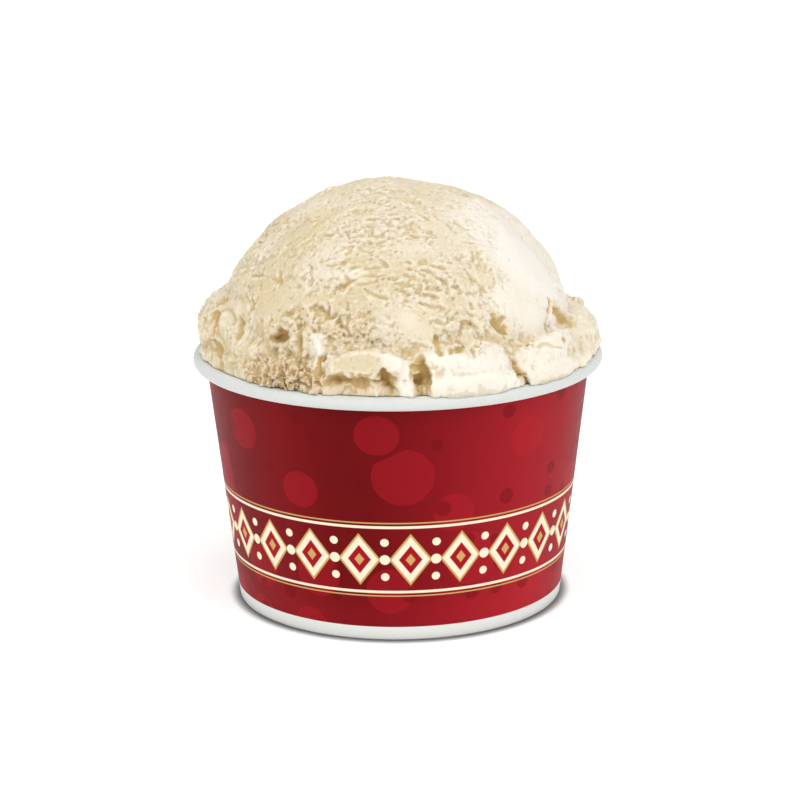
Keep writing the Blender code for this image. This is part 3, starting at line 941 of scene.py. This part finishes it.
def paper_bump(tree, shader, position, strength):
    """Fine fibres and a faint unevenness in the paper."""
    fibres = noise_at(tree, position, 2600.0, 3.0)
    waves = noise_at(tree, position, 90.0, 2.0)
    height = calc(tree, "MULTIPLY_ADD", waves, 1.6, fibres)
    bump = node(tree, "ShaderNodeBump", {"Height": height, "Strength": strength, "Distance": 0.05 * MM})
    tree.links.new(bump.outputs[0], shader.inputs["Normal"])


def white_paper():
    material, tree, shader = new_material("white_paper")
    position = node(tree, "ShaderNodeTexCoord").outputs["Object"]
    speckle = noise_at(tree, position, 700.0, 4.0)
    shade = mixed(tree, speckle, colour(*BASE_PAPERS[0]), colour(*BASE_PAPERS[1]))
    tree.links.new(shade, shader.inputs["Base Color"])
    shader.inputs["Roughness"].default_value = 0.55
    paper_bump(tree, shader, position, 0.35)
    return material


def discs(tree, arc, height, cell, sizes, seed):
    """1 inside scattered round spots of uneven size, 0 outside, and a number that picks among them."""
    spread = node(tree, "ShaderNodeCombineXYZ", {"X": arc, "Y": height, "Z": 0.0}).outputs[0]
    shift = {0: spread, 1: (seed * cell, seed * cell, 0.0)}
    shifted = node(tree, "ShaderNodeVectorMath", shift, operation="ADD").outputs[0]
    inputs = {"Vector": shifted, "Scale": 1 / cell, "Randomness": 0.7}
    spots = node(tree, "ShaderNodeTexVoronoi", inputs, voronoi_dimensions="2D")
    pick = node(tree, "ShaderNodeSeparateColor", {"Color": spots.outputs["Color"]}).outputs[0]
    low, high = (size / cell for size in sizes)
    limit = calc(tree, "MULTIPLY_ADD", pick, high - low, low)
    inside = calc(tree, "SUBTRACT", limit, spots.outputs["Distance"])
    return between(tree, inside, -0.006, 0.006), pick


def tone(tree, angle, height):
    """How much painted light lightens the red at this angle and height, with painted shade taking some away
    at the left.
    """
    waves = calc(tree, "COSINE", product(tree, calc(tree, "SUBTRACT", angle, PAINTED_DARK_TURN), TONE_WAVES))
    painted_light = calc(tree, "COSINE", calc(tree, "SUBTRACT", angle, PAINTED_LIGHT_TURN))
    level = calc(tree, "MULTIPLY_ADD", painted_light, PAINTED_LIGHT_TONE, MEAN_TONE)
    level = calc(tree, "MULTIPLY_ADD", waves, -WAVE_TONE, level)
    level = calc(tree, "MULTIPLY_ADD", between(tree, height, *PAINTED_FOOT_LIGHT), PAINTED_FOOT_TONE, level)
    painted_shade = product(tree, between(tree, angle, *PAINTED_SHADE_STARTS), between(tree, angle, *PAINTED_SHADE_ENDS))
    return calc(tree, "MULTIPLY_ADD", painted_shade, -PAINTED_SHADE_TONE, level)


def red_field(tree, position, angle, arc, height):
    """The plain red with its tone-on-tone spots, and painted light and shade round the cup."""
    big, big_pick = discs(tree, arc, height, *BIG_SPOTS)
    small, small_pick = discs(tree, arc, height, *SMALL_SPOTS)
    lighter = product(tree, big, calc(tree, "GREATER_THAN", big_pick, 0.35), 0.5)
    darker = product(tree, small, calc(tree, "GREATER_THAN", small_pick, 0.5), 0.5)
    field = mixed(tree, noise_at(tree, position, 60.0, 2.0), colour(*REDS[0]), colour(*REDS[1]))
    field = mixed(tree, lighter, field, colour(*LIGHT_SPOT))
    # Painted light and shade: the red mixed towards a lighter red where light falls on it
    field = mixed(tree, tone(tree, angle, height), field, colour(*PAINTED_LIGHT_RED))
    return mixed(tree, darker, field, colour(*DARK_SPOT))


def band(tree, turned, height, field):
    """Lozenges, dots and lines all round the cup, printed over the field."""
    gold, cream, deep = colour(*GOLD), colour(*CREAM), colour(*DEEP_RED)
    pitch = 2 * math.pi * BAND_RADIUS / LOZENGES
    step = calc(tree, "FRACT", product(tree, turned, LOZENGES / (2 * math.pi)))
    across = calc(tree, "ABSOLUTE", product(tree, calc(tree, "SUBTRACT", step, 0.5), pitch))
    up = calc(tree, "ABSOLUTE", calc(tree, "SUBTRACT", height, BAND_CENTRE))
    wide = calc(tree, "DIVIDE", across, LOZENGE_HALF[0])
    tall = calc(tree, "DIVIDE", up, LOZENGE_HALF[1])
    lozenge = calc(tree, "ADD", wide, tall)
    art = field
    for size, ink in zip(LOZENGE_SIZES, (gold, cream, deep, gold)):
        inside = between(tree, lozenge, size + LOZENGE_BLUR, size - LOZENGE_BLUR)
        art = mixed(tree, inside, art, ink)

    side = calc(tree, "SUBTRACT", across, pitch / 2)
    for lift, size in ((0.0, BIG_DOT * DOT_RADIUS), (DOT_LIFT, DOT_RADIUS)):
        off = distance(tree, side, calc(tree, "SUBTRACT", up, lift))
        art = mixed(tree, between(tree, off, size + PRINT_BLUR, size - PRINT_BLUR), art, cream)
    for shift, half, ink in ((0.0, STRIPE_HALF, cream), (THIN_LINE_OFFSET, STRIPE_HALF / 2, gold)):
        off = calc(tree, "ABSOLUTE", calc(tree, "SUBTRACT", up, STRIPE_OFFSET + shift))
        art = mixed(tree, between(tree, off, half + LINE_BLUR, half - LINE_BLUR), art, ink)
    return art


def on_face(tree, across, out, height):
    """1 on the outer face of the wall, 0 on its inner face and on the roll of the rim."""
    face_radius = calc(tree, "MULTIPLY_ADD", height, math.tan(WALL_LEAN), wall_radius(0.0))
    outside = calc(tree, "SUBTRACT", distance(tree, across, out), face_radius)
    return product(tree, between(tree, outside, *OUTER_FACE), between(tree, outside, *ROLL_SIDE))


def off_raw_edge(tree, arc):
    """0 on the cut edge of the paper at the seam, 1 beside it."""
    cut = (LAP_RAMP + LAP_WIDTH) * BAND_RADIUS / wall_radius(CUP_HEIGHT / 2)
    after, before = calc(tree, "GREATER_THAN", arc, cut), calc(tree, "LESS_THAN", arc, cut + RAW_EDGE)
    return calc(tree, "SUBTRACT", 1.0, product(tree, after, before))


def printed_paper():
    """White paper printed red between foot and rim, with tone-on-tone spots, painted light and shade on the
    red, and a band of lozenges.
    """
    material, tree, shader = new_material("printed_paper")
    position = node(tree, "ShaderNodeTexCoord").outputs["Object"]
    x, y, height = node(tree, "ShaderNodeSeparateXYZ", {"Vector": position}).outputs
    angle = calc(tree, "ARCTAN2", y, x)
    turned = calc(tree, "FLOORED_MODULO", calc(tree, "SUBTRACT", angle, SEAM_ANGLE), 2 * math.pi)
    arc = product(tree, turned, BAND_RADIUS)
    art = band(tree, turned, height, red_field(tree, position, angle, arc, height))

    low = between(tree, height, PRINT_BOTTOM - PRINT_BLUR, PRINT_BOTTOM + PRINT_BLUR)
    high = between(tree, height, PRINT_TOP + PRINT_BLUR, PRINT_TOP - PRINT_BLUR)
    inked = product(tree, low, high, on_face(tree, x, y, height), off_raw_edge(tree, arc))
    # One white paper, painted lighter on the foot band and darker above it: painted light and painted shade
    painted_lit_foot_paper, painted_shaded_rim_paper, speckle_paper = (colour(*paper) for paper in WALL_PAPERS)
    speckle = product(tree, noise_at(tree, position, 700.0, 4.0), 0.4)
    white = mixed(tree, speckle, mixed(tree, low, painted_lit_foot_paper, painted_shaded_rim_paper), speckle_paper)
    tree.links.new(mixed(tree, inked, white, art), shader.inputs["Base Color"])

    varnish = ranged(tree, noise_at(tree, position, 240.0, 3.0), 0.42, 0.54)
    tree.links.new(varnish, shader.inputs["Roughness"])
    shader.inputs["Specular IOR Level"].default_value = 0.06
    paper_bump(tree, shader, position, 0.25)
    return material


def cream_colour(tree, painted_hollow_shade, coarse, white, painted_grain_shading, position):
    """The cream's colour: layer over layer, each where its share is above 0. The ochre, the dark grain and
    the hollow layers are painted shade, and the light grain is a painted highlight.
    """
    mottle = noise_at(tree, position, 330.0, 5.0)
    patch = noise_at(tree, position, 95.0, 3.0)
    specks = noise_at(tree, position, 1150.0, 2.0)
    rough = calc(tree, "SUBTRACT", 1.0, between(tree, coarse, *SMOOTH_BELOW))
    creamy = between(tree, white, 0.9, 0.3)
    # Painted shade in the fine pits and a painted highlight on the raised grain, mottled with noise
    grain_shading_and_mottle = calc(tree, "MULTIPLY_ADD", mottle, 1.6, calc(tree, "SUBTRACT", painted_grain_shading, 0.8))
    dark = calc(tree, "MULTIPLY_ADD", white, -0.3, 0.6)
    deep = calc(tree, "MULTIPLY_ADD", mottle, 0.7, calc(tree, "SUBTRACT", painted_hollow_shade, 0.35))
    layers = (
        (white, WHITE_CREAM),
        # Ochre where the cream is less than white: mostly painted shade
        (between(tree, white, 0.0, -1.0), OCHRE_CREAM_AND_SHADE),
        (product(tree, between(tree, patch, 0.48, 0.7), 0.5, creamy), YELLOW_PATCH),
        (product(tree, between(tree, grain_shading_and_mottle, 0.1, 1.3), dark), PAINTED_PIT_SHADE),
        (product(tree, between(tree, grain_shading_and_mottle, -0.3, -1.4), 0.4), PAINTED_GRAIN_HIGHLIGHT),
        (product(tree, between(tree, specks, 0.53, 0.68), rough, 0.2), DARK_PIT),
        (product(tree, between(tree, specks, 0.45, 0.32), rough, 0.15), FROST),
        # Painted shade in the hollows, darker deeper down
        (product(tree, between(tree, deep, 0.1, 1.0), 0.6), HOLLOW_SHADE),
        (product(tree, between(tree, deep, 0.6, 1.5), 0.85), DEEP_SHADE),
    )
    base = colour(*PLAIN_CREAM)
    for share, over in layers:
        base = mixed(tree, share, base, colour(*over))
    return base


def frozen_cream():
    """Pale cream, whiter in patches, with painted ochre shade down in the hollows, and an icy grain."""
    material, tree, shader = new_material("frozen_cream")
    position = node(tree, "ShaderNodeTexCoord").outputs["Object"]
    shades = [
        node(tree, "ShaderNodeAttribute", attribute_name=name).outputs["Fac"]
        for name in ("painted_hollow_shade", "coarse", "white", "painted_grain_shading")
    ]
    tree.links.new(cream_colour(tree, *shades, position), shader.inputs["Base Color"])
    shader.inputs["Subsurface Weight"].default_value = 0.3
    shader.inputs["Subsurface Radius"].default_value = (1.0, 0.72, 0.42)
    shader.inputs["Subsurface Scale"].default_value = 1.2 * MM

    smooth = between(tree, shades[1], *SMOOTH_BELOW)
    tree.links.new(ranged(tree, smooth, 0.6, 0.34), shader.inputs["Roughness"])
    crystals = noise_at(tree, position, 1300.0, 3.0)
    grit = node(tree, "ShaderNodeTexVoronoi", {"Vector": position, "Scale": 1100.0}).outputs["Distance"]
    height = calc(tree, "MULTIPLY_ADD", grit, -0.7, crystals)
    strength = ranged(tree, smooth, 0.85, 0.12)
    bump = node(tree, "ShaderNodeBump", {"Height": height, "Strength": strength, "Distance": 0.4 * MM})
    tree.links.new(bump.outputs[0], shader.inputs["Normal"])
    return material


# Floor, light and camera


def look_at(obj, target):
    obj.rotation_euler = (Vector(target) - obj.location).to_track_quat("-Z", "Y").to_euler()


def floor():
    """A pale floor that glows a little like a light table, with a painted contact shadow: darker and
    glowing less close to what stands on it.
    """
    material, tree, shader = new_material("floor")
    open_sky = node(tree, "ShaderNodeAmbientOcclusion", {"Distance": FLOOR_REACH}, samples=12).outputs["AO"]
    # Painted contact shadow where things close off the sky above the floor
    clear = between(tree, open_sky, 0.5, 0.9)
    tree.links.new(mixed(tree, clear, FLOOR_PAINTED_SHADOW, FLOOR_PALE), shader.inputs["Base Color"])
    tree.links.new(product(tree, clear, FLOOR_GLOW), shader.inputs["Emission Strength"])
    shader.inputs["Emission Color"].default_value = WHITE
    shader.inputs["Roughness"].default_value = 0.9
    shader.inputs["Specular IOR Level"].default_value = 0.0
    mesh = bpy.data.meshes.new("floor")
    half = FLOOR_HALF
    corners = [(-half, -half, 0), (half, -half, 0), (half, half, 0), (-half, half, 0)]
    mesh.from_pydata(corners, [], [(0, 1, 2, 3)])
    mesh.materials.append(material)
    plane = bpy.data.objects.new("floor", mesh)
    bpy.context.scene.collection.objects.link(plane)


def soft_light(name, azimuth, elevation, brightness, width):
    """A far, wide light. Angles are in degrees, the azimuth from the front and positive to the right."""
    light = bpy.data.lights.new(name, "SUN")
    light.energy = brightness * math.pi
    light.angle = math.radians(width)
    lamp = bpy.data.objects.new(name, light)
    turned, raised = math.radians(azimuth - 90), math.radians(elevation)
    lamp.location = at_angle(math.cos(raised), math.sin(raised), turned)
    bpy.context.scene.collection.objects.link(lamp)
    look_at(lamp, (0.0, 0.0, 0.0))


def studio():
    world = bpy.data.worlds.new("studio")
    bpy.context.scene.world = world
    world.use_nodes = True
    background = world.node_tree.nodes["Background"]
    background.inputs["Color"].default_value = WHITE
    background.inputs["Strength"].default_value = SKY_BRIGHTNESS
    for row in LIGHTS:
        soft_light(*row)
    bpy.context.scene.view_settings.view_transform = "Standard"


def camera():
    data = bpy.data.cameras.new("camera")
    data.sensor_fit = "HORIZONTAL"
    data.sensor_width = SENSOR
    data.lens = SENSOR * FOCAL_PIXELS / FRAME_PIXELS
    data.clip_start = 0.01
    data.clip_end = 20.0
    view = bpy.data.objects.new("camera", data)
    back = Vector((0.0, -math.cos(CAMERA_ELEVATION), math.sin(CAMERA_ELEVATION)))
    view.location = CAMERA_AIM + back * CAMERA_DISTANCE
    look_at(view, CAMERA_AIM)
    view.rotation_euler.rotate_axis("Z", CAMERA_ROLL)
    bpy.context.scene.collection.objects.link(view)
    bpy.context.scene.camera = view


camera()
floor()
studio()
cup_wall(printed_paper())
cup_base(white_paper())
ice_cream(frozen_cream())
